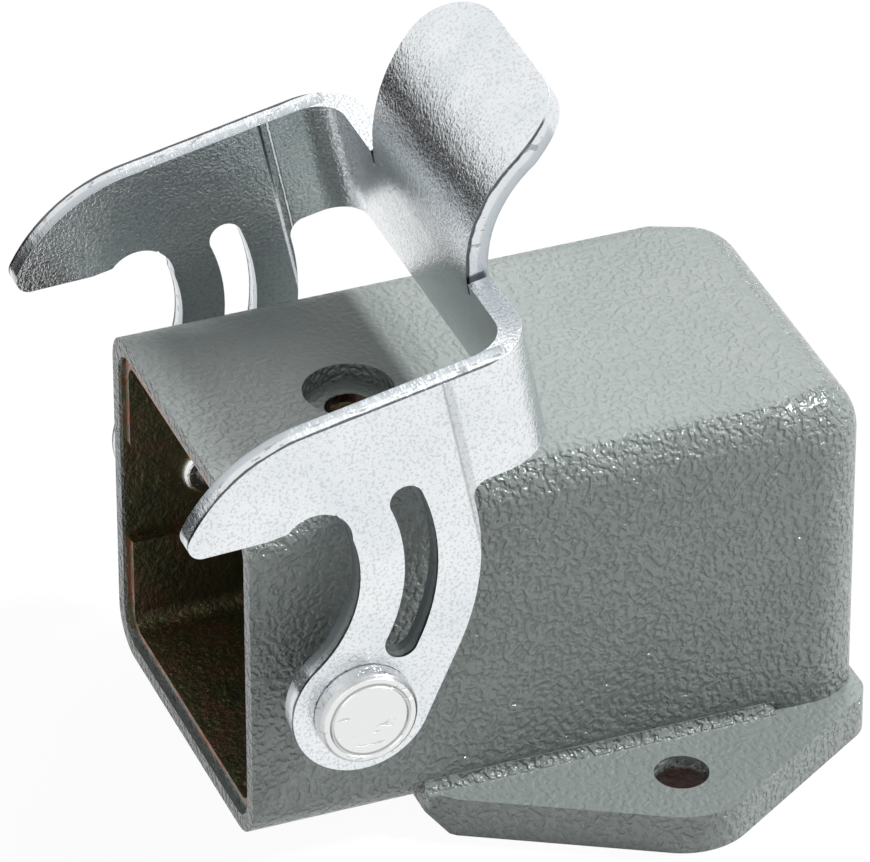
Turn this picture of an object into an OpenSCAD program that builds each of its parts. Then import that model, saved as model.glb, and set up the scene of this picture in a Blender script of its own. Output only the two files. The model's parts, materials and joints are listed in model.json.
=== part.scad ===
/* [Collar] */
// Width of the collar, across the two lever arms
collar_w = 27; // [25:0.5:34]
// Height of the collar
collar_h = 25.8; // [24:0.2:32]
// Length of the housing from the open front to the closed rear
collar_l = 44.9; // [43.5:0.1:60]
// Thickness of the collar's walls
wall_t = 2.1; // [1.8:0.1:2.6]
// Thickness of the closed rear wall
rear_wall_t = 2.5; // [2:0.1:4]
// Radius along the two upper side edges
top_edge_r = 2.6; // [1.5:0.1:4]
// Radius along the two lower side edges
bottom_edge_r = 3; // [1.5:0.1:4]
// Radius over the rear end and down its two corners
rear_r = 4; // [3:0.1:8]
// Length over which the upper side edges widen into the rear corners
rear_blend_l = 3; // [1:0.5:16]

/* [Front opening] */
// Corner radius of the cavity for the contact insert
cavity_r = 1.2; // [0.8:0.1:1.8]
// Wall thickness left at the front edge
rim_t = 1.1; // [0.8:0.1:1.4]
// Depth of the step just inside the front edge
rim_depth = 0.4; // [0.2:0.1:1.5]
// Height of the band cut into each inner side wall
recess_h = 8.1; // [7:0.1:10]
// Length of that band from the front edge
recess_l = 15; // [13:0.5:20]

/* [Fixing screw hole] */
// Distance of the hole from the front edge
screw_y = 12.1; // [10:0.1:16]
// Diameter of the counterbore
screw_head_d = 6.3; // [5.5:0.1:7]
// Depth of the counterbore
screw_head_depth = 1.4; // [0.8:0.1:1.5]
// Diameter of the through hole
screw_d = 3.3; // [2.8:0.1:3.6]

/* [Mounting flange] */
// Distance between the two mounting holes
hole_pitch = 35.6; // [35:0.1:42]
// Diameter of the mounting holes
hole_d = 3.8; // [3.2:0.1:4.4]
// Distance of the mounting holes from the front edge
hole_y = 29.3; // [26:0.1:34]
// Thickness of the flange
flange_t = 3; // [2.8:0.1:5]
// Radius of the tip of each ear
ear_r = 5.2; // [4:0.1:6]
// Distance of the flange's front end from the front edge of the collar
flange_y = 12.3; // [10:0.1:16]
// Size of the bevel on the flange's front corners
flange_bevel = 1.7; // [1:0.1:2.5]
// Radius of the flange's rear corners
flange_rear_r = 2.5; // [2:0.1:5]
// How far the mounting face lies below the collar
base_drop = 1.45; // [1:0.05:4]
// How far the flange reaches behind the collar
flange_tail = 2; // [1:0.1:4]
// Size of the bevel under the flange's front end
under_bevel = 1.3; // [0.5:0.1:2]
// Radius of the fillets along the foot of the side walls
foot_r = 0.8; // [0.4:0.1:1.2]

/* [Cable opening and seal] */
// Width of the cable opening in the base
cable_w = 18; // [14:0.5:20]
// Length of the cable opening in the base
cable_l = 20; // [14:0.5:22]
// Distance of the cable opening from the front edge
cable_y = 18; // [17:0.5:22]
// Corner radius of the cable opening
cable_r = 3; // [2:0.5:5]
// Width of the casting left between the cable opening and the seal
seal_land = 1.2; // [0.8:0.1:2]
// Width of the seal
seal_w = 1.8; // [1.2:0.1:2.5]
// Thickness of the seal
seal_t = 1.2; // [0.8:0.1:1.5]

/* [Pivots] */
// Distance of the pivots from the front edge
pivot_y = 6.2; // [5.6:0.1:9]
// Height of the pivots above the middle of the collar
pivot_z = 0.1; // [-1:0.1:1]
// Diameter of the bosses that hold the arms off the side walls
boss_d = 4.8; // [4.4:0.1:5.5]
// Diameter of the rivets' shanks
rivet_d = 2.8; // [2.4:0.1:3.2]
// Diameter of the rivets' heads
rivet_head_d = 6.9; // [6:0.1:7.5]
// Thickness of the rivets' heads
rivet_head_t = 1.4; // [1:0.1:2]
// Radius round the edge of the rivets' heads
rivet_edge_r = 0.45; // [0.2:0.05:0.6]
// Diameter of the hollow in the rivets' inner ends
rivet_bore_d = 1.8; // [1.4:0.1:2]
// Depth of that hollow
rivet_bore_l = 3; // [2:0.1:4]
// Diameter of the rivets' rolled inner ends
rivet_roll_d = 3.6; // [3.3:0.1:4]
// Height of the rolled ends above the inner wall
rivet_roll_t = 0.5; // [0.3:0.05:0.6]

/* [Lever] */
// Thickness of the lever's sheet
sheet_t = 1.6; // [1.4:0.1:2.2]
// Gap between each side wall and the arm beside it
arm_gap = 2.95; // [2.2:0.05:4]
// Tilt of the open lever about the pivots
open_tilt = 11.5; // [0:0.5:20]
// Height of the arms' straight upper edge above the pivots
arm_top = 22.6; // [21.5:0.1:26]
// Radius of the lobes round the pivots
lobe_r = 4.9; // [4.4:0.1:5.5]

/* [Horns] */
// Radius of the horns' curved upper edge
horn_r = 11.8; // [10.5:0.1:14]
// Distance behind the pivots where that curve meets the straight edge
horn_start = 0.8; // [0:0.1:2]
// Angle of the horns' tips on the curve
horn_angle = 141; // [130:1:146]
// Radius of the horns' tips
horn_tip_r = 1.05; // [0.8:0.05:1.4]
// Height of the horns' lower edge above the pivots
horn_low = 15.85; // [15:0.05:17]
// Distance of the horns' lowest point in front of the pivots
horn_chin = 3.4; // [3:0.1:5]
// Radius of the seat that draws in the locking peg
seat_r = 2.5; // [2:0.05:2.8]
// Distance of the seat's middle in front of the pivots
seat_u = 0.3; // [0:0.05:0.6]
// Depth of that seat above the horns' lower edge
seat_depth = 0.6; // [0.3:0.05:1.5]

/* [Legs] */
// Distance of the legs' curve centre in front of the pivots
leg_centre_u = 6.9; // [6:0.1:8]
// Height of the legs' curve centre above the pivots
leg_centre_v = 12.2; // [11:0.1:13]
// Outer radius of the legs
leg_outer_r = 17.6; // [16:0.1:18]
// Radius of the fillet between the legs and the rear of the arms
leg_fillet_r = 1.2; // [0.5:0.1:2]
// Radius of the slots' centre line
slot_r = 13.4; // [13:0.1:14]
// Width of the slots
slot_w = 2.35; // [1.8:0.05:2.8]
// Angle of the slots' lower end
slot_from = -38; // [-40:1:-30]
// Angle of the slots' upper end
slot_to = 11; // [4:1:12]

/* [Cross plate and tab] */
// Distance from the pivots back to the cross plate's front face
plate_u = 15.8; // [15.4:0.1:18]
// Height of the cross plate's lower edge above the pivots
plate_low = 14; // [13.6:0.1:14.6]
// Inner radius of the bends into the cross plate
corner_r = 2.6; // [2:0.1:3.2]
// Width of the tab at its end
tab_w = 18.4; // [17.8:0.1:20]
// Width of the tab at its waist
tab_waist_w = 17.2; // [13:0.1:17.8]
// Height of the waist above the pivots
waist_v = 22.8; // [22:0.1:27]
// Depth of the bend reliefs beside the tab's foot
relief_depth = 1.1; // [0.6:0.1:2]
// Width of the bend reliefs
relief_w = 0.4; // [0.3:0.05:1.2]
// Outer radius of the tab's curl
curl_r = 11.2; // [9:0.1:14]
// Angle through which the tab curls back
curl_angle = 74; // [55:1:85]
// Length of the tab's straight end
tab_end_l = 1.3; // [0.8:0.1:5]
// Radius of the tab's two corners
tab_corner_r = 4.9; // [2:0.1:7]

/* [Hidden] */
$fn = 72;
// a cut reaches this far past the face that it opens
cut = 1;
// radial clearance of the rivets in the housing and in the arms
pin_clearance = 0.05;
// gap between each arm and the faces that it turns against
side_clearance = 0.1;
// space between the seal and the walls of its groove
seal_clearance = 0.05;
mid_z = collar_h / 2 + base_drop;
cavity_w = collar_w - 2 * wall_t;
cavity_h = collar_h - 2 * wall_t;
// wide enough for a cut or a side view to run right across the lever
across = 2 * collar_w;
arm_x = collar_w / 2 + arm_gap;
leg_centre = [-leg_centre_u, leg_centre_v];
// curves and lines that run into each other cross by this much, instead of only touching
seam = 0.01;
// the legs' front curve runs into the lobes
leg_inner_r = norm(leg_centre) - lobe_r + seam;
// the legs' curves end well inside the rear of the arms
leg_top_angle = 30;
// angles through which curves run on into the straight parts
leg_lap = 6;
curl_lap = 4;
horn_centre = [horn_start, arm_top - horn_r];
horn_tip = horn_centre + (horn_r - horn_tip_r + seam) * unit(horn_angle);
rear_face_u = plate_u + sheet_t;
tab_root_v = arm_top - relief_depth;
curl_centre = [plate_u + curl_r, tab_root_v];

function unit(a) = [cos(a), sin(a)];
function heading(v) = atan2(v[1], v[0]);
// direction from a circle's middle to where a line from a point touches it
function touch(from, centre, r, side) =
    heading(from - centre) + side * acos(r / norm(from - centre));
// direction of the normal of a straight side that runs round two circles
function belt_normal(a, ra, b, rb, side) =
    heading(b - a) + side * acos((ra - rb) / norm(b - a));

// pieces are drawn from the middle of the front opening and moved to the mounting face
module in_frame() {
    translate([0, -hole_y, mid_z])
        children();
}

module both_sides() {
    children();
    mirror([1, 0, 0])
        children();
}

// a front view, pushed back from the front edge by a length
module push_back(length) {
    translate([0, length, 0])
        rotate([90, 0, 0])
            linear_extrude(length)
                children();
}

// a side view, as wide as given, centred on the housing
module pull_across(width) {
    rotate([90, 0, 90])
        translate([0, 0, -width / 2])
            linear_extrude(width)
                children();
}

// what a fillet takes off a square corner
module corner_waste(r) {
    difference() {
        square(r + cut);
        circle(r);
    }
}

module rounded_rect(w, h, r_top, r_bottom) {
    difference() {
        square([w, h], center = true);
        both_sides() {
            translate([w / 2 - r_top, h / 2 - r_top])
                corner_waste(r_top);
            translate([w / 2 - r_bottom, r_bottom - h / 2])
                mirror([0, 1, 0])
                    corner_waste(r_bottom);
        }
    }
}

// the strip between two circles' middles and the straight side that touches both
module belt(a, ra, b, rb, side) {
    n = unit(belt_normal(a, ra, b, rb, side));
    polygon([a, a + ra * n, b + rb * n, b]);
}

// pie slice of a disc
module slice(r, from, to) {
    intersection() {
        circle(r);
        polygon([[0, 0], 2 * r * unit(from), 2 * r * unit((from + to) / 2), 2 * r * unit(to)]);
    }
}

// HOUSING

module collar_section() {
    rounded_rect(collar_w, collar_h, top_edge_r, bottom_edge_r);
}

// the closed rear end: its upper side edges widen smoothly into the large corners
module rear_end() {
    corner = [collar_w / 2 - rear_r, collar_l - rear_r, collar_h / 2 - rear_r];
    hull() {
        translate([0, collar_l - rear_r - rear_blend_l, 0])
            push_back(cut)
                collar_section();
        both_sides() {
            translate(corner)
                sphere(rear_r);
            translate([corner[0], corner[1], -collar_h / 2])
                cylinder(r = rear_r, h = corner[2] + collar_h / 2);
        }
    }
}

module flange_outline() {
    front = [collar_w / 2, flange_y];
    bevel_end = front + flange_bevel * [1, 1];
    ear = [hole_pitch / 2, hole_y];
    ear_front = ear + ear_r * unit(touch(bevel_end, ear, ear_r, 1));
    rear = [collar_w / 2 - flange_rear_r, collar_l + flange_tail - flange_rear_r];
    both_sides() {
        polygon([[0, flange_y], front, bevel_end, ear_front, ear, [0, hole_y]]);
        polygon([[0, hole_y], ear, rear, [0, rear[1]]]);
        belt(ear, ear_r, rear, flange_rear_r, -1);
        translate(ear)
            circle(ear_r);
        translate(rear)
            circle(flange_rear_r);
        translate([0, rear[1] - flange_rear_r])
            square([rear[0], 2 * flange_rear_r]);
    }
}

// the cable opening's outline, grown by a margin
module cable_outline(margin) {
    translate([0, cable_y + cable_l / 2])
        rounded_rect(cable_w + 2 * margin, cable_l + 2 * margin, cable_r + margin, cable_r + margin);
}

module flange() {
    difference() {
        translate([0, 0, -mid_z])
            linear_extrude(flange_t)
                flange_outline();
        translate([0, 0, -mid_z])
            pull_across(across)
                polygon([
                    [flange_y - cut, -cut],
                    [flange_y + under_bevel + cut, -cut],
                    [flange_y - cut, under_bevel + cut]
                ]);
    }
}

// fillets between the side walls and the flange
module foot_fillets() {
    both_sides()
        translate([collar_w / 2, flange_y, flange_t - mid_z])
            push_back(collar_l - rear_r - rear_blend_l - flange_y)
                difference() {
                    translate([-cut, -cut])
                        square(foot_r + cut);
                    translate([foot_r, foot_r])
                        circle(foot_r);
                }
}

module housing_body() {
    push_back(collar_l - rear_r - rear_blend_l)
        collar_section();
    rear_end();
    flange();
    foot_fillets();
    both_sides()
        translate([0, pivot_y, pivot_z])
            rotate([0, 90, 0])
                cylinder(d = boss_d, h = arm_x - side_clearance);
}

module insert_cavity() {
    step_w = collar_w - 2 * rim_t;
    step_h = collar_h - 2 * rim_t;
    step_r = cavity_r + wall_t - rim_t;
    translate([0, -cut, 0]) {
        push_back(cut + collar_l - rear_wall_t)
            rounded_rect(cavity_w, cavity_h, cavity_r, cavity_r);
        push_back(cut + rim_depth)
            rounded_rect(step_w, step_h, step_r, step_r);
        push_back(cut + recess_l)
            translate([0, pivot_z])
                square([step_w, recess_h], center = true);
    }
}

module base_openings() {
    translate([0, 0, -mid_z - cut]) {
        linear_extrude(mid_z + cut)
            cable_outline(0);
        linear_extrude(seal_t + cut)
            difference() {
                cable_outline(seal_land + seal_w);
                cable_outline(seal_land);
            }
        both_sides()
            translate([hole_pitch / 2, hole_y, 0])
                cylinder(d = hole_d, h = flange_t + 2 * cut);
    }
}

module screw_hole() {
    translate([0, screw_y, collar_h / 2]) {
        translate([0, 0, -screw_head_depth])
            cylinder(d = screw_head_d, h = screw_head_depth + cut);
        translate([0, 0, -wall_t - cut])
            cylinder(d = screw_d, h = wall_t + cut);
    }
}

module pivot_bores() {
    translate([-across / 2, pivot_y, pivot_z])
        rotate([0, 90, 0])
            cylinder(r = rivet_d / 2 + pin_clearance, h = across);
}

module housing() {
    color("#75827c")
        in_frame()
            difference() {
                housing_body();
                insert_cavity();
                base_openings();
                screw_hole();
                pivot_bores();
            }
}

// SEAL

module flange_gasket() {
    color("#26282a")
        in_frame()
            translate([0, 0, -mid_z])
                linear_extrude(seal_t)
                    difference() {
                        cable_outline(seal_land + seal_w - seal_clearance);
                        cable_outline(seal_land + seal_clearance);
                    }
}

// RIVETS

// half section, in radius and distance out from the housing's inner wall
module rivet_section() {
    head_at = rim_t + arm_gap + sheet_t + side_clearance;
    head_end = head_at + rivet_head_t;
    lip_r = rivet_roll_d / 2 - rivet_roll_t;
    difference() {
        union() {
            square([rivet_d / 2, head_end]);
            translate([0, head_at])
                square([rivet_head_d / 2, rivet_head_t]);
            translate([0, -rivet_roll_t])
                square([lip_r, rivet_roll_t]);
            translate([lip_r, 0])
                slice(rivet_roll_t, -90, 0);
        }
        translate([0, -rivet_roll_t - cut])
            square([rivet_bore_d / 2, rivet_bore_l + cut]);
        translate([rivet_head_d / 2 - rivet_edge_r, head_end - rivet_edge_r])
            corner_waste(rivet_edge_r);
    }
}

module rivet() {
    color("#dfe2e6")
        in_frame()
            translate([collar_w / 2 - rim_t, pivot_y, pivot_z])
                rotate([0, 90, 0])
                    rotate_extrude()
                        rivet_section();
}

module right_rivet() {
    rivet();
}

module left_rivet() {
    mirror([1, 0, 0])
        rivet();
}

// LEVER, drawn from the pivots: u runs back and v up along its own bends

module horn() {
    chin = [-horn_chin, horn_low];
    lower = horn_tip + (horn_tip_r - seam) * unit(touch(chin, horn_tip, horn_tip_r - seam, -1));
    far = 2 * horn_r * unit(horn_angle);
    pull_across(across)
        translate(horn_tip)
            circle(horn_tip_r);
    pull_across(across)
        intersection() {
            translate(horn_centre)
                circle(horn_r + seam);
            polygon([
                horn_tip,
                lower,
                chin,
                [horn_start + seat_r, horn_low],
                [horn_start + seat_r, arm_top],
                [horn_centre[0] + far[0], arm_top],
                horn_centre + far
            ]);
        }
}

module leg() {
    n = belt_normal(leg_centre, leg_outer_r, [0, 0], lobe_r, 1);
    difference() {
        union() {
            pull_across(across)
                belt(leg_centre, leg_outer_r - seam, [0, 0], lobe_r - seam, 1);
            pull_across(across)
                translate(leg_centre)
                    slice(leg_outer_r, n - leg_lap, leg_top_angle);
            pull_across(across)
                circle(lobe_r);
        }
        pull_across(across + cut)
            translate(leg_centre)
                circle(leg_inner_r);
    }
}

// the rear of the arms, with what the fillets at the legs leave of it
module web() {
    fillet_v = plate_low - leg_fillet_r + seam;
    fillet_reach = leg_outer_r + leg_fillet_r - seam;
    fillet_u = sqrt(pow(fillet_reach, 2) - pow(fillet_v - leg_centre_v, 2)) - leg_centre_u;
    rear = rear_face_u + cut;
    pull_across(across)
        difference() {
            polygon([
                [horn_start, horn_low],
                [horn_start + seat_r, horn_low],
                [horn_start + seat_r, fillet_v],
                [fillet_u, fillet_v],
                [fillet_u, plate_low],
                [rear, plate_low],
                [rear, arm_top],
                [horn_start, arm_top]
            ]);
            translate([fillet_u, fillet_v])
                circle(leg_fillet_r);
        }
}

module slot() {
    pull_across(across + cut)
        translate(leg_centre)
            difference() {
                slice(slot_r + slot_w / 2, slot_from, slot_to);
                circle(slot_r - slot_w / 2);
            }
    for (a = [slot_from, slot_to])
        pull_across(across + cut)
            translate(leg_centre + slot_r * unit(a))
                circle(slot_w / 2 + seam);
}

// both arms as one thick block, shaped as they look from the side
module arm_block() {
    difference() {
        union() {
            horn();
            leg();
            web();
        }
        slot();
        pull_across(across + cut)
            translate([-seat_u, horn_low + seat_depth - seat_r])
                circle(seat_r);
        pull_across(across + cut)
            circle(rivet_d / 2 + pin_clearance);
    }
}

// the bent sheet seen from above, open at the front: an arm, the cross plate and the other arm
module sheet_plan() {
    difference() {
        translate([0, (rear_face_u - across) / 2])
            rounded_rect(2 * (arm_x + sheet_t), rear_face_u + across, corner_r + sheet_t, corner_r + sheet_t);
        translate([0, (plate_u - across) / 2 - cut])
            rounded_rect(2 * arm_x, plate_u + across + 2 * cut, corner_r, corner_r);
    }
}

// the cross plate's upper edge, cut down where the tab rises and beside it
module tab_window() {
    window_w = tab_waist_w + 2 * relief_w;
    push_back(across)
        translate([-window_w / 2, tab_root_v])
            square([window_w, relief_depth + cut]);
}

module channel() {
    difference() {
        intersection() {
            translate([0, 0, -lobe_r - cut])
                linear_extrude(lobe_r + cut + arm_top)
                    sheet_plan();
            arm_block();
        }
        tab_window();
    }
}

module foot_and_curl() {
    pull_across(across)
        translate([plate_u, tab_root_v - cut])
            square([sheet_t, cut]);
    pull_across(across)
        translate(curl_centre)
            difference() {
                slice(curl_r, 180 - curl_angle - curl_lap, 180);
                circle(curl_r - sheet_t);
            }
    pull_across(across)
        translate(curl_centre)
            rotate(-curl_angle)
                translate([seam - curl_r, 0])
                    square([sheet_t - 2 * seam, tab_end_l]);
}

// the tab from the front, hollowed at both sides into a waist
module waisted_front_view() {
    dx = (tab_w - tab_waist_w) / 2;
    dv = curl_centre[1] + (curl_r - sheet_t) * sin(curl_angle) - waist_v;
    hollow_r = (dx * dx + dv * dv) / (2 * dx);
    difference() {
        translate([-tab_w / 2 - cut, tab_root_v - 2 * cut])
            square([tab_w + 2 * cut, 2 * curl_r]);
        both_sides()
            translate([tab_waist_w / 2 + hollow_r, waist_v])
                circle(hollow_r);
    }
}

// the tab's end seen square on, with its two round corners, deep enough to hold the whole curl
module rounded_end() {
    translate([0, curl_centre[0], curl_centre[1]])
        rotate([-curl_angle, 0, 0])
            translate([0, -curl_r - cut, 0])
                push_back(2 * curl_r + cut)
                    translate([0, tab_end_l - across / 2])
                        rounded_rect(tab_w, across, tab_corner_r, tab_corner_r);
}

module tab() {
    intersection() {
        foot_and_curl();
        push_back(across)
            waisted_front_view();
        rounded_end();
    }
}

module locking_lever() {
    color("#c3c8cf")
        in_frame()
            translate([0, pivot_y, pivot_z])
                rotate([open_tilt, 0, 0]) {
                    channel();
                    tab();
                }
}

housing();
locking_lever();
right_rivet();
left_rivet();
flange_gasket();
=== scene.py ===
import bmesh
import bpy
import json
import math
from mathutils import Matrix, Vector


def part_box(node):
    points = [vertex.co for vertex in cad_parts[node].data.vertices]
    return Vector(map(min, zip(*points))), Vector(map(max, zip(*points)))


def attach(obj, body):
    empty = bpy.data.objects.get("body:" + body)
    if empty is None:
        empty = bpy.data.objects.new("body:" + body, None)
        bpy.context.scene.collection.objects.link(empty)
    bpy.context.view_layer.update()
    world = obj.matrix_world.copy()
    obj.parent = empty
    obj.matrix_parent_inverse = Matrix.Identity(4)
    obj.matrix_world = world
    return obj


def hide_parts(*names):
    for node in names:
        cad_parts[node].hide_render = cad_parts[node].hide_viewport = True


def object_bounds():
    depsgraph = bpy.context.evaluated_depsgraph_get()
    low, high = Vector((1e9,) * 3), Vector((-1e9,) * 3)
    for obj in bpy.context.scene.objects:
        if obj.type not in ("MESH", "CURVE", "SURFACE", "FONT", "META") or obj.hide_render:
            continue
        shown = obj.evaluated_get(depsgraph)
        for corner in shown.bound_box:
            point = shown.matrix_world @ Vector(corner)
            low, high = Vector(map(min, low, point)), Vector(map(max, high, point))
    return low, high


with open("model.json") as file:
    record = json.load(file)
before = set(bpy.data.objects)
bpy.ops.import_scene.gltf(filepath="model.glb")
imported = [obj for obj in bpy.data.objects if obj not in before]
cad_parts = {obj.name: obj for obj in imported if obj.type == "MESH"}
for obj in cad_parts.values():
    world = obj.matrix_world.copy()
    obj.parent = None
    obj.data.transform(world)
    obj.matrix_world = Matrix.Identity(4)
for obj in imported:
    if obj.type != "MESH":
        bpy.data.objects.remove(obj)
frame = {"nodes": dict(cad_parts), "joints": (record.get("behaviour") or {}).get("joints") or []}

bl_info = {
    "name": "Connector Housing Finisher",
    "version": (1, 0, 0),
    "blender": (4, 5, 0),
    "location": "View3D > Sidebar > Connector",
    "description": "Finishes a rectangular connector housing and its locking lever and sets up a studio",
    "category": "Object",
}

CAD_LOW, CAD_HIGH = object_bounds()
HOUSING_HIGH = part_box("housing")[1]


def joint_axis_point():
    """Middle of the pivot line, from the joint that the lever turns on."""
    for joint in frame["joints"]:
        if joint["name"] == "lever_pivot":
            return Vector(joint["pos_m"])
    raise RuntimeError("the record has no lever_pivot joint")


PIVOT = joint_axis_point()
LEVER_TILT = math.radians(11.5)

# widths over which a mask goes from 0 to 1
CRISP = 0.00005
SOFT = 0.0001

SMOOTH_BELOW = math.radians(28)
EASE_ABOVE = math.radians(35)
SAME_FLAT = math.radians(0.6)
WELD = 0.000002

# each light: its direction from the middle of the object, its distance and its width
KEY_LIGHT = (Vector((0.11, 0.66, 0.74)), 0.7, 0.10)
SIDE_LIGHT = (Vector((-0.62, 0.36, 0.70)), 0.7, 0.30)
FILL_LIGHT = (Vector((0.9, -0.9, 0.8)), 0.8, 0.5)

# the black strip that darkens a band of the lever's tab in reflection: length and height, and its place
STRIP_SIZE = (0.15, 0.052)
STRIP_MIDDLE = 0.0265
STRIP_TURN = math.radians(-55)
STRIP_PLACE = (-0.112, -0.0912, 0)


# ---------------------------------------------------------------- shader helpers


class Wire:
    """A shader socket that adds Math nodes when it is used in an expression."""

    def __init__(self, graph, socket):
        self.graph = graph
        self.socket = socket

    def _math(self, operation, a, b=None):
        values = {0: a} if b is None else {0: a, 1: b}
        return self.graph.node("ShaderNodeMath", {"operation": operation}, values)

    def __add__(self, other):
        return self._math("ADD", self, other)

    def __radd__(self, other):
        return self._math("ADD", other, self)

    def __sub__(self, other):
        return self._math("SUBTRACT", self, other)

    def __rsub__(self, other):
        return self._math("SUBTRACT", other, self)

    def __mul__(self, other):
        return self._math("MULTIPLY", self, other)

    def __rmul__(self, other):
        return self._math("MULTIPLY", other, self)

    def __truediv__(self, other):
        return self._math("DIVIDE", self, other)

    def __rtruediv__(self, other):
        return self._math("DIVIDE", other, self)

    def __abs__(self):
        return self._math("ABSOLUTE", self)

    def most(self, other):
        return self._math("MAXIMUM", self, other)

    def above(self, edge, soft):
        """0 below the edge, 1 above it, smooth over the width given."""
        return self.graph.node(
            "ShaderNodeMapRange",
            {"interpolation_type": "SMOOTHSTEP"},
            {"Value": self, "From Min": edge - soft / 2, "From Max": edge + soft / 2},
        )

    def below(self, edge, soft):
        return 1 - self.above(edge, soft)


class Graph:
    """Builds the nodes of one material or of the surround."""

    def __init__(self, owner):
        self.owner = owner
        owner.use_nodes = True
        self.tree = owner.node_tree
        self.tree.nodes.clear()

    def node(self, kind, settings=None, inputs=None, out=0):
        """Adds one node: its settings first, then its sockets, and gives back one of its outputs."""
        made = self.tree.nodes.new(kind)
        for key, value in (settings or {}).items():
            if key == "stops":
                self._stops(made.color_ramp, value)
            else:
                setattr(made, key, value)
        for key, value in (inputs or {}).items():
            self.feed(made.inputs[key], value)
        return None if out is None else Wire(self, made.outputs[out])

    def _stops(self, ramp, stops):
        while len(ramp.elements) < len(stops):
            ramp.elements.new(0.5)
        for element, (position, colour) in zip(ramp.elements, stops):
            element.position = position
            element.color = (*colour, 1.0)

    def feed(self, socket, value):
        """Links a wire to the socket, or sets a plain value on it."""
        if isinstance(value, Wire):
            self.tree.links.new(value.socket, socket)
        else:
            socket.default_value = value

    def place(self):
        return self.node("ShaderNodeTexCoord", out="Object")

    def facing(self):
        return self.node("ShaderNodeTexCoord", out="Normal")

    def moved(self, vector, location=(0, 0, 0), rotation=(0, 0, 0), scale=(1, 1, 1)):
        return self.node(
            "ShaderNodeMapping",
            {},
            {"Vector": vector, "Location": location, "Rotation": rotation, "Scale": scale},
        )

    def part(self, vector, name):
        return self.node("ShaderNodeSeparateXYZ", {}, {0: vector}, out=name)

    def noise(self, vector, scale, detail=3.0, rough=0.5, warp=0.0):
        return self.node(
            "ShaderNodeTexNoise",
            {},
            {"Vector": vector, "Scale": scale, "Detail": detail, "Roughness": rough, "Distortion": warp},
        )

    def ramp(self, value, stops):
        return self.node("ShaderNodeValToRGB", {"stops": stops}, {0: value})

    def blend(self, mask, first, second):
        first, second = (value if isinstance(value, Wire) else (*value, 1.0) for value in (first, second))
        return self.node("ShaderNodeMix", {"data_type": "RGBA"}, {0: mask, 6: first, 7: second}, out=2)

    def bump(self, height, distance, strength=1.0):
        return self.node("ShaderNodeBump", {}, {"Height": height, "Distance": distance, "Strength": strength})

    def finish(self, **sockets):
        inputs = {name.replace("_", " "): value for name, value in sockets.items()}
        self.surface(self.node("ShaderNodeBsdfPrincipled", {}, inputs))
        return self.owner

    def surface(self, shader, kind="ShaderNodeOutputMaterial"):
        self.node(kind, {}, {"Surface": shader}, out=None)


def rgb(colour):
    """A colour property as a plain tuple."""
    return tuple(colour)[:3]


# ---------------------------------------------------------------- materials


def cavity_mask(graph, place, sizes):
    """1 inside the insert's cavity and the cable opening, where the casting is left bare."""
    x, y, z = (graph.part(place, axis) for axis in "XYZ")
    pocket = (abs(x).below(sizes.half_width - sizes.pocket_wall, CRISP)
              * y.below(sizes.front_y + sizes.pocket_end, SOFT))
    across = abs(x).below(sizes.half_width - sizes.wall + 0.0002, CRISP).most(pocket)
    under_top = z.below(HOUSING_HIGH.z - sizes.wall + 0.0003, CRISP)
    above_floor = z.above(sizes.floor_top, CRISP)
    behind_front = y.above(sizes.front_y + 0.00025, CRISP)
    before_back = y.below(sizes.back_y - 0.0018, SOFT)
    box = across * under_top * above_floor * behind_front * before_back
    opening = (abs(x).below(sizes.opening_side, CRISP) * y.above(sizes.opening_front, CRISP)
               * y.below(sizes.opening_back, CRISP))
    return box.most(opening * z.below(0.0040, CRISP) * z.above(0.0002, CRISP))


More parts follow.
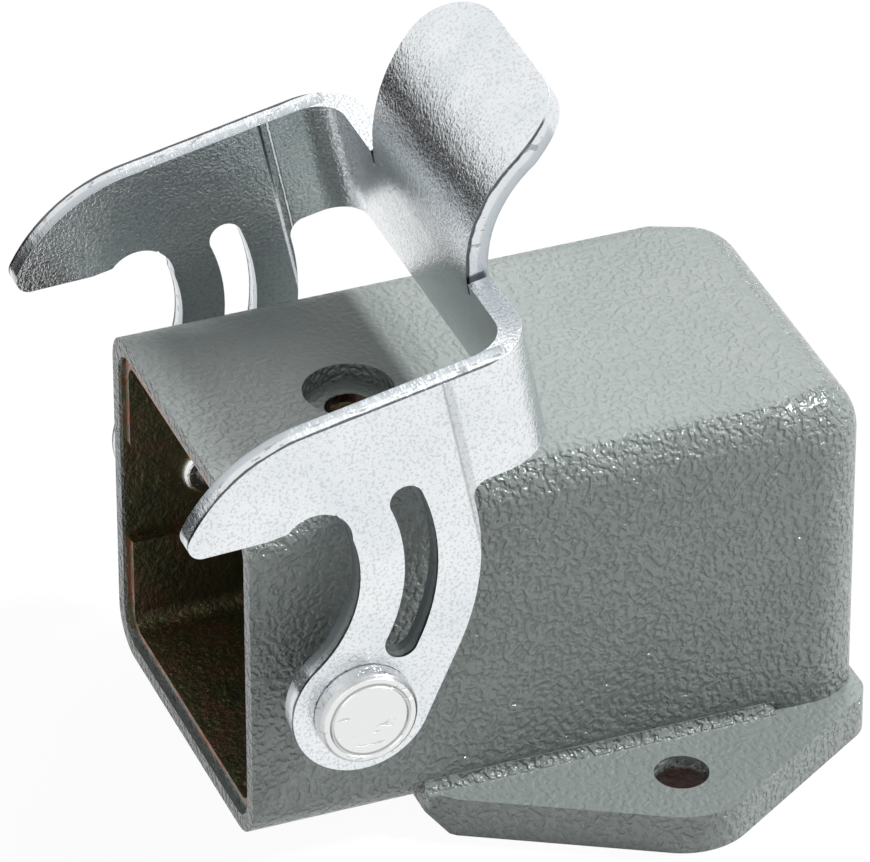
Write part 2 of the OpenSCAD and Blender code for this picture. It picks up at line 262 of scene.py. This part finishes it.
def coating_material(sizes, colours):
    """Textured powder coat outside, bare passivated die casting inside."""
    graph = Graph(bpy.data.materials.new("textured_powder_coat"))
    place = graph.place()
    facing = graph.facing()
    x, y, z = (graph.part(place, axis) for axis in "XYZ")
    up = graph.part(facing, "Z")
    front = graph.part(facing, "Y")
    bare = cavity_mask(graph, place, sizes)

    # pebbled skin: rounded hills with narrow, wandering valleys between them
    swirl = graph.node(
        "ShaderNodeTexNoise", {}, {"Vector": place, "Scale": 700.0, "Detail": 2.0}, out="Color"
    )
    warp = (0.0005, 0.0005, 0.0005)
    bent = graph.node("ShaderNodeVectorMath", {"operation": "MULTIPLY_ADD"}, {0: swirl, 1: warp, 2: place})
    blobs = graph.noise(bent, 2350.0, 1.0, 0.4)
    fine = graph.noise(place, 6000.0, 2.0, 0.5)
    slow = graph.noise(place, 150.0, 2.0, 0.5)
    calm = up.above(0.93, 0.06)
    hills = blobs.above(0.47, 0.34)
    relief = hills + fine * 0.06
    strength = 1.0 - calm * 0.78 + slow * 0.1
    cast = graph.noise(place, 1500.0, 4.0, 0.65)

    tone = graph.blend(slow.above(0.5, 0.5) * 0.5, rgb(colours.coat), rgb(colours.coat_light))
    # painted shade: the coat is darkened in the valleys between the pebbles, less so on the calm top faces
    painted_valley_shade = hills.below(0.35, 0.6) * (1 - calm * 0.75)
    tone = graph.blend(painted_valley_shade * 0.26, tone, rgb(colours.coat_valley_shade))

    # chromate film on the bare casting: brown-green with coloured flecks
    film = graph.noise(place, 240.0, 3.0, 0.6, 0.4)
    metal = graph.ramp(film, [(0.30, (0.085, 0.092, 0.055)), (0.5, (0.130, 0.118, 0.060)),
                              (0.66, (0.200, 0.110, 0.078)), (0.8, (0.085, 0.135, 0.070))])
    floor = up.above(0.6, 0.3)
    flecks = graph.noise(place, 3600.0, 2.0, 0.7)
    flecks = flecks.above(0.60, 0.06) * floor + flecks.above(0.70, 0.04) * (1 - floor)
    fleck_hue = graph.ramp(
        graph.noise(place, 900.0, 2.0, 0.5),
        [(0.35, (0.34, 0.30, 0.06)), (0.5, (0.20, 0.30, 0.10)), (0.62, (0.50, 0.24, 0.14))],
    )
    metal = graph.blend(flecks, metal, fleck_hue)

    # the sunk rim shows a brighter, iridescent film
    rim = front.below(-0.6, 0.2) * y.below(sizes.front_y + 0.0007, SOFT) * bare
    film_hue = graph.ramp(graph.noise(place, 420.0, 3.0, 0.65, 0.8),
                          [(0.30, (0.20, 0.14, 0.08)), (0.42, (0.42, 0.18, 0.05)), (0.52, (0.44, 0.20, 0.17)),
                           (0.60, (0.24, 0.26, 0.22)), (0.72, (0.38, 0.28, 0.08))])
    metal = graph.blend(rim, metal, film_hue)
    # a reddish film in the bores of the mounting holes and of the screw's hole, painted near black as shade
    # in these deep holes
    bore = (z.above(HOUSING_HIGH.z - 0.0024, SOFT) * z.below(HOUSING_HIGH.z - 0.00145, SOFT)
            * abs(x).below(sizes.screw_hole, SOFT) * abs(y - sizes.screw_y).below(sizes.screw_hole, SOFT))
    eye = (abs(abs(x) - sizes.ear_hole_x).below(sizes.ear_hole, SOFT)
           * abs(y).below(sizes.ear_hole, SOFT) * z.below(0.0022, 0.0008))
    shaded_reddish_film = bore.most(eye)
    metal = graph.blend(shaded_reddish_film, metal, (0.040, 0.024, 0.020))
    bare = bare.most(shaded_reddish_film)

    colour = graph.blend(bare, tone, metal)
    height = relief * strength * (1 - bare) + cast * bare * (sizes.cast_grain / sizes.pebble)
    normal = graph.bump(height, sizes.pebble)
    rough = 0.19 + calm * 0.21 + fine * 0.04
    rough = rough * (1 - bare) + bare * (0.40 - rim * 0.12)
    return graph.finish(Base_Color=colour, Roughness=rough, Metallic=bare * 0.85, Normal=normal, IOR=1.5)


def zinc_material(sizes, colours):
    """Bright zinc plate on sheet steel, with sheared edges that show several bands."""
    graph = Graph(bpy.data.materials.new("bright_zinc_plate"))
    place = graph.place()
    facing = graph.facing()
    # the lever's own frame: u runs back from the pivots, v up, both in metres
    local = graph.moved(place, location=tuple(-PIVOT))
    turned = graph.moved(local, rotation=(-LEVER_TILT, 0, 0))
    x, u, v = (graph.part(turned, axis) for axis in "XYZ")
    nx = abs(graph.part(facing, "X"))

    arm = abs(x).above(sizes.arm_inside - 0.0001, 0.0001)
    shear = arm * nx.below(0.35, 0.1) * u.below(sizes.fold_mark + 0.0045, 0.0004)
    tab = nx.above(0.75, 0.1) * abs(x).below(0.0105, 0.0004)
    edge = shear.most(tab)

    grain = graph.noise(place, 4200.0, 3.0, 0.6)
    drawn = graph.noise(graph.moved(turned, scale=(1, 0.5, 1)), 1600.0, 3.0, 0.6)
    dents = graph.noise(place, 620.0, 3.0, 0.55)
    relief = grain * 0.55 + drawn * 0.25 + dents * 0.5
    # a crease along the fold, pressed into the bump; its darkening further down is painted shade
    fold = abs(u - sizes.fold_mark).below(0.0003, 0.0003) * (1 - edge) * arm
    torn = graph.noise(graph.moved(place, scale=(0.4, 1, 1)), 1300.0, 4.0, 0.7)
    height = (relief - fold * 2.5) * (1 - edge) + edge * torn * 0.8
    normal = graph.bump(height, sizes.grain)

    patches = graph.noise(place, 140.0, 3.0, 0.6, 0.6)
    tone = graph.blend(patches.above(0.5, 0.35), rgb(colours.zinc), rgb(colours.zinc_blue))
    pits = grain.below(0.44, 0.12)
    tone = graph.blend(pits * 0.26, tone, rgb(colours.zinc_dark_and_shade))

    # across a sheared edge: a rolled shoulder, a burnished band and a broken band, then a dark line near the
    # outer face that is painted shade
    arm_depth = (abs(x) - sizes.arm_inside) / sizes.sheet
    r = graph.node("ShaderNodeMath", {"operation": "SQRT"},
                   {0: (u - sizes.curl_u) * (u - sizes.curl_u) + (v - sizes.curl_v) * (v - sizes.curl_v)})
    tab_depth = (r - (sizes.curl_r - sizes.sheet)) / sizes.sheet
    depth = arm_depth * shear + tab_depth * (1 - shear)
    ragged = depth + (graph.noise(graph.moved(place, scale=(1, 0.5, 1)), 800.0, 3.0, 0.6) - 0.5) * 0.22
    bands = graph.ramp(ragged, [
        (0.0, (0.40, 0.43, 0.46)), (0.10, (0.48, 0.52, 0.55)), (0.42, (0.55, 0.59, 0.62)),
        (0.52, (0.74, 0.77, 0.79)), (0.80, (0.76, 0.79, 0.81)), (0.87, (0.05, 0.06, 0.07)),
        (0.98, (0.16, 0.17, 0.18)),
    ])
    tone = graph.blend(edge, tone, bands)
    scored = (graph.noise(graph.moved(place, scale=(1, 0.35, 1)), 1700.0, 3.0, 0.7).above(0.60, 0.05)
              * edge * depth.above(0.4, 0.2))
    tone = graph.blend(scored * 0.6, tone, rgb(colours.zinc_dark_and_shade))
    # painted shade: the plate is darkened along the fold's crease
    tone = graph.blend(fold * 0.25, tone, rgb(colours.zinc_dark_and_shade))
    rough = 0.07 + grain * 0.05 + patches * 0.03 + edge * 0.14
    return graph.finish(Base_Color=tone, Roughness=rough, Metallic=1.0, Normal=normal)


def rivet_material(sizes, colours):
    """Plated rivet: turned, with a few scuffs on its flat head, and painted shade on its ring and rim."""
    graph = Graph(bpy.data.materials.new("plated_rivet"))
    place = graph.place()
    local = graph.moved(place, location=tuple(-PIVOT))
    y, z = (graph.part(local, axis) for axis in "YZ")
    r = graph.node("ShaderNodeMath", {"operation": "SQRT"}, {0: y * y + z * z})
    rings = graph.node("ShaderNodeMath", {"operation": "SINE"}, {0: r * 42000.0})
    scuff = graph.noise(graph.moved(place, rotation=(0.5, 0, 0), scale=(1, 0.3, 1.6)), 1100.0, 3.0, 0.7)
    scuff = scuff.above(0.62, 0.03)
    rim = abs(r - sizes.rivet_ring).below(0.00010, 0.00022)
    foot = r.above(sizes.rivet_edge, 0.00020)
    grain = graph.noise(place, 2000.0, 3.0, 0.6)
    relief = grain * 0.8 + rings * 0.05 - scuff * 0.5 - rim * 3.0 - foot * 2.0
    normal = graph.bump(relief, 0.00006)
    # the scuffs are wear; the darkening of the ring and of the rim is painted shade
    scuffs_and_painted_shade = scuff * 0.3 + rim * 0.35 + foot * 0.3
    tone = graph.blend(scuffs_and_painted_shade, rgb(colours.rivet), rgb(colours.zinc_dark_and_shade))
    rough = 0.2 + grain * 0.1 + scuff * 0.12
    return graph.finish(Base_Color=tone, Roughness=rough, Metallic=1.0, Normal=normal)


def rubber_material(sizes, colours):
    """Dull black sealing rubber with a faint bloom."""
    graph = Graph(bpy.data.materials.new("sealing_rubber"))
    place = graph.place()
    bloom = graph.noise(place, 330.0, 4.0, 0.6)
    fine = graph.noise(place, 2600.0, 2.0, 0.5)
    tone = graph.blend(bloom.above(0.55, 0.3) * 0.5, rgb(colours.rubber), (0.045, 0.046, 0.047))
    normal = graph.bump(fine, 0.00003, 0.6)
    return graph.finish(Base_Color=tone, Roughness=0.62 + bloom * 0.2, Normal=normal)


def studio_material(name, colour, mix):
    """A surface of the studio that shows as plain white to the camera and in reflections."""
    graph = Graph(bpy.data.materials.new(name))
    seen = graph.node("ShaderNodeLightPath", out="Is Camera Ray")
    shiny = graph.node("ShaderNodeLightPath", out="Is Glossy Ray")
    clear = graph.node("ShaderNodeLightPath", out="Is Transmission Ray")
    seen = seen.most(shiny).most(clear) * mix
    matt = graph.node("ShaderNodeBsdfDiffuse", {}, {"Color": (*colour, 1.0)})
    glow = graph.node("ShaderNodeEmission", {}, {"Color": (1, 1, 1, 1), "Strength": 1.0})
    both = graph.node("ShaderNodeMixShader", {}, {0: seen, 1: matt, 2: glow})
    graph.surface(both)
    return graph.owner


# ---------------------------------------------------------------- mesh helpers


def put(name, mesh, material, body):
    piece = bpy.data.objects.new(name, mesh)
    bpy.context.scene.collection.objects.link(piece)
    mesh.materials.clear()
    mesh.materials.append(material)
    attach(piece, body)
    return piece


def make_flats_whole(bm):
    """Joins neighbouring facets that lie in one plane."""
    bmesh.ops.dissolve_limit(
        bm, angle_limit=SAME_FLAT, use_dissolve_boundaries=False,
        verts=bm.verts[:], edges=bm.edges[:], delimit={"NORMAL"},
    )


def joined_shape(node):
    """The CAD node's surface as one joined bmesh, with flat faces made whole."""
    bm = bmesh.new()
    bm.from_mesh(frame["nodes"][node].data)
    bmesh.ops.remove_doubles(bm, verts=bm.verts[:], dist=WELD)
    make_flats_whole(bm)
    return bm


def trim_tail(bm, back, corner):
    """Ends the flange level with the housing's rear wall and rounds its two rear corners."""
    everything = bm.verts[:] + bm.edges[:] + bm.faces[:]
    bmesh.ops.bisect_plane(
        bm, geom=everything, dist=0.000001, plane_co=(0, back, 0), plane_no=(0, 1, 0), clear_outer=True
    )
    open_edges = [edge for edge in bm.edges if edge.is_boundary]
    if not open_edges:
        raise RuntimeError("the flange's tail was not cut")
    bmesh.ops.triangle_fill(bm, use_beauty=True, use_dissolve=True, edges=open_edges)
    make_flats_whole(bm)
    corners = [
        edge for edge in bm.edges
        if all(abs(vert.co.y - back) < 0.00001 for vert in edge.verts)
        and abs(edge.verts[0].co.x - edge.verts[1].co.x) < 0.00005
        and abs(edge.verts[0].co.z - edge.verts[1].co.z) > 0.001
        and abs(edge.verts[0].co.x) > 0.012
    ]
    if len(corners) < 2:
        raise RuntimeError("the flange's rear corners were not found")
    bmesh.ops.bevel(
        bm, geom=corners, offset=corner, offset_type="OFFSET", affect="EDGES",
        segments=8, profile=0.5, material=-1,
    )


def finished_mesh(bm, name):
    """Writes the bmesh to a smooth-shaded mesh whose corners stay sharp."""
    bmesh.ops.triangulate(bm, faces=[face for face in bm.faces if len(face.verts) > 4])
    for edge in bm.edges:
        edge.smooth = len(edge.link_faces) == 2 and edge.calc_face_angle(0.0) < SMOOTH_BELOW
    for face in bm.faces:
        face.smooth = True
    mesh = bpy.data.meshes.new(name)
    bm.to_mesh(mesh)
    bm.free()
    return mesh


def eased(piece, width, segments=2):
    """Breaks the sharp edges and keeps flat faces flat in the shading."""
    bevel = piece.modifiers.new("eased_edges", "BEVEL")
    bevel.width = width
    bevel.segments = segments
    bevel.limit_method = "ANGLE"
    bevel.angle_limit = EASE_ABOVE
    bevel.use_clamp_overlap = True
    bevel.miter_outer = "MITER_ARC"
    bevel.harden_normals = False
    weighted = piece.modifiers.new("flat_faces", "WEIGHTED_NORMAL")
    weighted.keep_sharp = True
    return piece


# ---------------------------------------------------------------- properties


def distance(name, description, default, low=0.0, high=1.0):
    return bpy.props.FloatProperty(
        name=name, description=description, default=default, min=low, max=high,
        precision=5, subtype="DISTANCE", unit="LENGTH",
    )


def tint(name, description, default):
    return bpy.props.FloatVectorProperty(
        name=name, description=description, default=default, size=3, min=0.0, max=1.0, subtype="COLOR"
    )


class ConnectorSizes(bpy.types.PropertyGroup):
    """Sizes of the finish and of the pieces that are made here."""

    wall: distance("Wall", "Thickness of the housing's walls", 0.0021, 0.001, 0.005)
    half_width: distance("Half Width", "Half the width of the housing's body", 0.0135, 0.005, 0.05)
    front_y: distance("Front", "Place of the insert opening's rim along the housing", -0.0293, -0.1, 0.1)
    back_y: distance("Back", "Place of the rear wall's outside along the housing", 0.0156, -0.1, 0.1)
    pocket_wall: distance("Pocket Wall", "Wall left beside the recess in each side", 0.0008, 0.0, 0.002)
    pocket_end: distance("Pocket End", "Reach of the recess behind the front", 0.0158, 0.0, 0.05)
    floor_top: distance("Floor", "Height of the cavity's floor, a hair above it", 0.0031, 0.0, 0.01)
    opening_side: distance("Opening Half Width", "Half the width of the cable opening", 0.0093, 0.0, 0.03)
    opening_front: distance("Opening Front", "Front edge of the cable opening", -0.0117, -0.05, 0.05)
    opening_back: distance("Opening Back", "Rear edge of the cable opening", 0.0091, -0.05, 0.05)
    screw_y: distance("Screw Place", "Place of the insert's fixing screw", -0.0172, -0.05, 0.05)
    screw_hole: distance("Screw Hole", "Radius of the film in the screw's hole", 0.0018, 0.0, 0.005)
    ear_hole_x: distance("Ear Hole Place", "Distance of the mounting holes from the axis", 0.0178, 0.0, 0.05)
    ear_hole: distance("Ear Hole", "Radius of the film in the mounting holes", 0.00205, 0.0, 0.005)
    cast_grain: distance("Cast Grain", "Height of the bare casting's grain", 0.00014, 0.0, 0.001)
    tail_corner: distance("Tail Corner", "Rounding of the flange's rear corners", 0.0013, 0.0, 0.003)
    pebble: distance("Pebble Height", "Height of the coat's pebbles", 0.00015, 0.0, 0.001)
    grain: distance("Zinc Grain", "Depth of the grain in the zinc plate", 0.00009, 0.0, 0.001)
    arm_inside: distance("Arm Place", "Place of the arms' inner faces", 0.01645, 0.005, 0.05)
    curl_u: distance("Curl Middle Back", "Place of the curl's centre behind the pivots", 0.0270, 0.0, 0.1)
    curl_v: distance("Curl Middle Up", "Height of the tab's curl centre over the pivots", 0.0215, 0.0, 0.1)
    curl_r: distance("Curl Radius", "Outer radius of the tab's curl", 0.0112, 0.001, 0.05)
    sheet: distance("Sheet", "Thickness of the lever's sheet", 0.0016, 0.0005, 0.004)
    fold_mark: distance("Fold Mark", "Distance of the fold mark behind the pivots", 0.0107, 0.0, 0.05)
    rivet_ring: distance("Rivet Ring", "Radius of the ring on the rivets' heads", 0.00272, 0.0, 0.01)
    rivet_edge: distance("Rivet Edge", "Radius where the rivets' rims start", 0.00328, 0.0, 0.01)
    rivet_break: distance("Rivet Break", "Width of the small bevels on the rivets", 0.00008, 0.0, 0.001)
    edge_break: distance("Edge Break", "Width of the small bevels on the lever's edges", 0.00018, 0.0, 0.001)
    coat_break: distance("Coat Break", "Width of the small bevels under the coat", 0.00022, 0.0, 0.001)


class ConnectorColours(bpy.types.PropertyGroup):
    """Colours of the finishes."""

    coat: tint("Coat", "Powder coat", (0.190, 0.218, 0.208))
    coat_light: tint("Light Coat", "Powder coat where it lies thin", (0.225, 0.250, 0.240))
    # painted shade, laid into the valleys between the pebbles
    coat_valley_shade: tint("Dark Coat", "Powder coat in the valleys", (0.095, 0.118, 0.113))
    zinc: tint("Zinc", "Bright zinc plate", (0.85, 0.875, 0.89))
    zinc_blue: tint("Blue Zinc", "Zinc plate with a blue passivation", (0.77, 0.81, 0.84))
    # dark zinc for pits and scores, also used as painted shade along the lever's fold and on the rivets' ring
    # and rim
    zinc_dark_and_shade: tint("Dark Zinc", "Broken or scored plate", (0.20, 0.21, 0.22))
    rivet: tint("Rivet", "Plated rivets", (0.82, 0.83, 0.83))
    rubber: tint("Rubber", "Seal under the flange", (0.018, 0.019, 0.020))


class ConnectorStage(bpy.types.PropertyGroup):
    """Camera and light."""

    azimuth: bpy.props.FloatProperty(
        name="Azimuth", description="Direction of the camera round the housing",
        default=math.radians(68.8783), subtype="ANGLE", unit="ROTATION",
    )
    elevation: bpy.props.FloatProperty(
        name="Elevation", description="Height of the camera over the horizon",
        default=math.radians(33.4913), subtype="ANGLE", unit="ROTATION",
    )
    roll: bpy.props.FloatProperty(
        name="Roll", description="Turn of the camera about its own line of sight",
        default=math.radians(-0.123), subtype="ANGLE", unit="ROTATION",
    )
    aim: bpy.props.FloatVectorProperty(
        name="Aim", description="Point that the camera looks at",
        default=(-0.0050018, -0.0090382, 0.0188211), size=3, subtype="TRANSLATION", unit="LENGTH",
    )
    reach: distance("Distance", "Distance from the camera to that point", 0.56814, 0.1, 5.0)
    focal: bpy.props.FloatProperty(
        name="Focal Length", description="Focal length of the lens in millimetres",
        default=343.36, min=10.0, max=2000.0,
    )
    key_power: bpy.props.FloatProperty(
        name="Key Light", description="Power of the light behind", default=6.5, min=0.0, unit="POWER",
    )
    side_power: bpy.props.FloatProperty(
        name="Side Light", description="Power of the soft light on the left",
        default=1.6, min=0.0, unit="POWER",
    )
    fill_power: bpy.props.FloatProperty(
        name="Fill Light", description="Power of the fill light", default=0.5, min=0.0, unit="POWER",
    )
    ambient: bpy.props.FloatProperty(
        name="Surround", description="Strength of the light all round", default=0.24, min=0.0,
    )
    floor_colour: tint("Floor", "Colour of the floor", (0.86, 0.86, 0.86))


# ---------------------------------------------------------------- operators


class CONNECTOR_OT_housing(bpy.types.Operator):
    """Finish the die-cast housing: eased edges, powder coat outside, bare casting inside"""

    bl_idname = "connector.housing"
    bl_label = "Housing"

    def execute(self, context):
        sizes, colours = context.scene.connector_sizes, context.scene.connector_colours
        bm = joined_shape("housing")
        trim_tail(bm, sizes.back_y + 0.00002, sizes.tail_corner)
        mesh = finished_mesh(bm, "housing_casting")
        piece = put("housing_casting", mesh, coating_material(sizes, colours), "body")
        eased(piece, sizes.coat_break, 3)
        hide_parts("housing")
        return {"FINISHED"}


class CONNECTOR_OT_lever(bpy.types.Operator):
    """Finish the bent locking lever: broken edges and bright zinc plate"""

    bl_idname = "connector.lever"
    bl_label = "Locking Lever"

    def execute(self, context):
        sizes, colours = context.scene.connector_sizes, context.scene.connector_colours
        mesh = finished_mesh(joined_shape("locking_lever"), "lever_sheet")
        piece = put("lever_sheet", mesh, zinc_material(sizes, colours), "lever")
        eased(piece, sizes.edge_break, 3)
        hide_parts("locking_lever")
        return {"FINISHED"}


class CONNECTOR_OT_rivets(bpy.types.Operator):
    """Give the rivets their turned and plated finish"""

    bl_idname = "connector.rivets"
    bl_label = "Rivets"

    def execute(self, context):
        sizes, colours = context.scene.connector_sizes, context.scene.connector_colours
        material = rivet_material(sizes, colours)
        for node in ("right_rivet", "left_rivet"):
            mesh = finished_mesh(joined_shape(node), node + "_turned")
            piece = put(node + "_turned", mesh, material, "body")
            eased(piece, sizes.rivet_break)
            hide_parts(node)
        return {"FINISHED"}


class CONNECTOR_OT_seal(bpy.types.Operator):
    """Finish the rubber seal under the flange"""

    bl_idname = "connector.seal"
    bl_label = "Flange Seal"

    def execute(self, context):
        sizes, colours = context.scene.connector_sizes, context.scene.connector_colours
        seal = frame["nodes"]["flange_gasket"]
        seal.data.materials.clear()
        seal.data.materials.append(rubber_material(sizes, colours))
        return {"FINISHED"}


class CONNECTOR_OT_stage(bpy.types.Operator):
    """Set up the floor, the lights, the surround and the camera"""

    bl_idname = "connector.stage"
    bl_label = "Studio"

    def execute(self, context):
        stage = context.scene.connector_stage
        self.floor(stage)
        self.lights(stage)
        self.horizon(stage)
        self.surround(context, stage)
        self.camera(context, stage)
        context.scene.view_settings.view_transform = "Standard"
        return {"FINISHED"}

    def floor(self, stage):
        bm = bmesh.new()
        bmesh.ops.create_grid(bm, x_segments=1, y_segments=1, size=1.5)
        bmesh.ops.translate(bm, verts=bm.verts, vec=(0, 0, -0.00002))
        mesh = bpy.data.meshes.new("studio_floor")
        bm.to_mesh(mesh)
        bm.free()
        floor = bpy.data.objects.new("studio_floor", mesh)
        bpy.context.scene.collection.objects.link(floor)
        mesh.materials.append(studio_material("studio_floor", rgb(stage.floor_colour), 0.955))

    def soft_light(self, name, place, aim, size, power):
        data = bpy.data.lights.new(name, "AREA")
        data.shape = "RECTANGLE"
        data.size, data.size_y = size
        data.energy = power
        lamp = bpy.data.objects.new(name, data)
        bpy.context.scene.collection.objects.link(lamp)
        lamp.location = place
        lamp.rotation_mode = "QUATERNION"
        lamp.rotation_quaternion = (Vector(aim) - Vector(place)).to_track_quat("-Z", "Y")
        return lamp

    def lights(self, stage):
        middle = (CAD_LOW + CAD_HIGH) / 2
        for name, light, power in (
            ("key_light", KEY_LIGHT, stage.key_power),
            ("side_light", SIDE_LIGHT, stage.side_power),
            ("fill_light", FILL_LIGHT, stage.fill_power),
        ):
            direction, reach, width = light
            self.soft_light(name, middle + direction.normalized() * reach, middle, (width, width), power)

    def horizon(self, stage):
        """A low black strip beyond the table, which only shows in polished metal."""
        bm = bmesh.new()
        bmesh.ops.create_grid(bm, x_segments=1, y_segments=1, size=0.5)
        bmesh.ops.scale(bm, verts=bm.verts, vec=(*STRIP_SIZE, 1))
        bmesh.ops.rotate(bm, verts=bm.verts, matrix=Matrix.Rotation(math.radians(90), 3, "X"))
        bmesh.ops.translate(bm, verts=bm.verts, vec=(0, 0, STRIP_MIDDLE))
        bmesh.ops.rotate(bm, verts=bm.verts, matrix=Matrix.Rotation(STRIP_TURN, 3, "Z"))
        bmesh.ops.translate(bm, verts=bm.verts, vec=STRIP_PLACE)
        mesh = bpy.data.meshes.new("horizon_strip")
        bm.to_mesh(mesh)
        bm.free()
        strip = bpy.data.objects.new("horizon_strip", mesh)
        bpy.context.scene.collection.objects.link(strip)
        graph = Graph(bpy.data.materials.new("horizon_black"))
        mesh.materials.append(graph.finish(Base_Color=(0.004, 0.004, 0.004, 1.0), Roughness=1.0))
        strip.visible_camera = False
        strip.visible_diffuse = False
        strip.visible_shadow = False

    def surround(self, context, stage):
        world = bpy.data.worlds.new("studio_surround")
        context.scene.world = world
        graph = Graph(world)
        seen = graph.node("ShaderNodeLightPath", out="Is Camera Ray")
        shiny = graph.node("ShaderNodeLightPath", out="Is Glossy Ray")
        clear = graph.node("ShaderNodeLightPath", out="Is Transmission Ray")
        white = (1, 1, 1, 1)
        lit = graph.node("ShaderNodeBackground", {}, {"Color": white, "Strength": stage.ambient})
        plain = graph.node("ShaderNodeBackground", {}, {"Color": white, "Strength": 1.0})
        both = graph.node("ShaderNodeMixShader", {}, {0: seen.most(shiny).most(clear), 1: lit, 2: plain})
        graph.surface(both, "ShaderNodeOutputWorld")

    def camera(self, context, stage):
        a, e = stage.azimuth, stage.elevation
        right = Vector((math.cos(a), math.sin(a), 0))
        back = Vector((math.sin(a) * math.cos(e), -math.cos(a) * math.cos(e), math.sin(e)))
        up = back.cross(right)
        turned_right = right * math.cos(stage.roll) + up * math.sin(stage.roll)
        turned_up = up * math.cos(stage.roll) - right * math.sin(stage.roll)
        data = bpy.data.cameras.new("studio_camera")
        data.lens = stage.focal
        data.sensor_width = 36.0
        data.clip_start, data.clip_end = 0.01, 10.0
        camera = bpy.data.objects.new("studio_camera", data)
        context.scene.collection.objects.link(camera)
        place = Vector(stage.aim) + back * stage.reach
        axes = Matrix((turned_right, turned_up, back)).transposed().to_4x4()
        camera.matrix_world = Matrix.Translation(place) @ axes
        context.scene.camera = camera


class CONNECTOR_PT_pieces(bpy.types.Panel):
    """Lists the connector's pieces and its studio"""

    bl_idname = "CONNECTOR_PT_pieces"
    bl_label = "Connector"
    bl_space_type = "VIEW_3D"
    bl_region_type = "UI"
    bl_category = "Connector"

    def draw(self, context):
        for operator in OPERATORS:
            self.layout.operator(operator.bl_idname)
        scene = context.scene
        for group in (scene.connector_sizes, scene.connector_colours, scene.connector_stage):
            box = self.layout.box()
            for name in group.__annotations__:
                box.prop(group, name)


OPERATORS = (
    CONNECTOR_OT_housing,
    CONNECTOR_OT_lever,
    CONNECTOR_OT_rivets,
    CONNECTOR_OT_seal,
    CONNECTOR_OT_stage,
)
GROUPS = (ConnectorSizes, ConnectorColours, ConnectorStage)


def register():
    for item in (*GROUPS, *OPERATORS, CONNECTOR_PT_pieces):
        bpy.utils.register_class(item)
    bpy.types.Scene.connector_sizes = bpy.props.PointerProperty(type=ConnectorSizes)
    bpy.types.Scene.connector_colours = bpy.props.PointerProperty(type=ConnectorColours)
    bpy.types.Scene.connector_stage = bpy.props.PointerProperty(type=ConnectorStage)


def unregister():
    del bpy.types.Scene.connector_stage
    del bpy.types.Scene.connector_colours
    del bpy.types.Scene.connector_sizes
    for item in reversed((*GROUPS, *OPERATORS, CONNECTOR_PT_pieces)):
        bpy.utils.unregister_class(item)


def main():
    register()
    bpy.ops.connector.housing()
    bpy.ops.connector.lever()
    bpy.ops.connector.rivets()
    bpy.ops.connector.seal()
    bpy.ops.connector.stage()


if __name__ == "__main__":
    main()
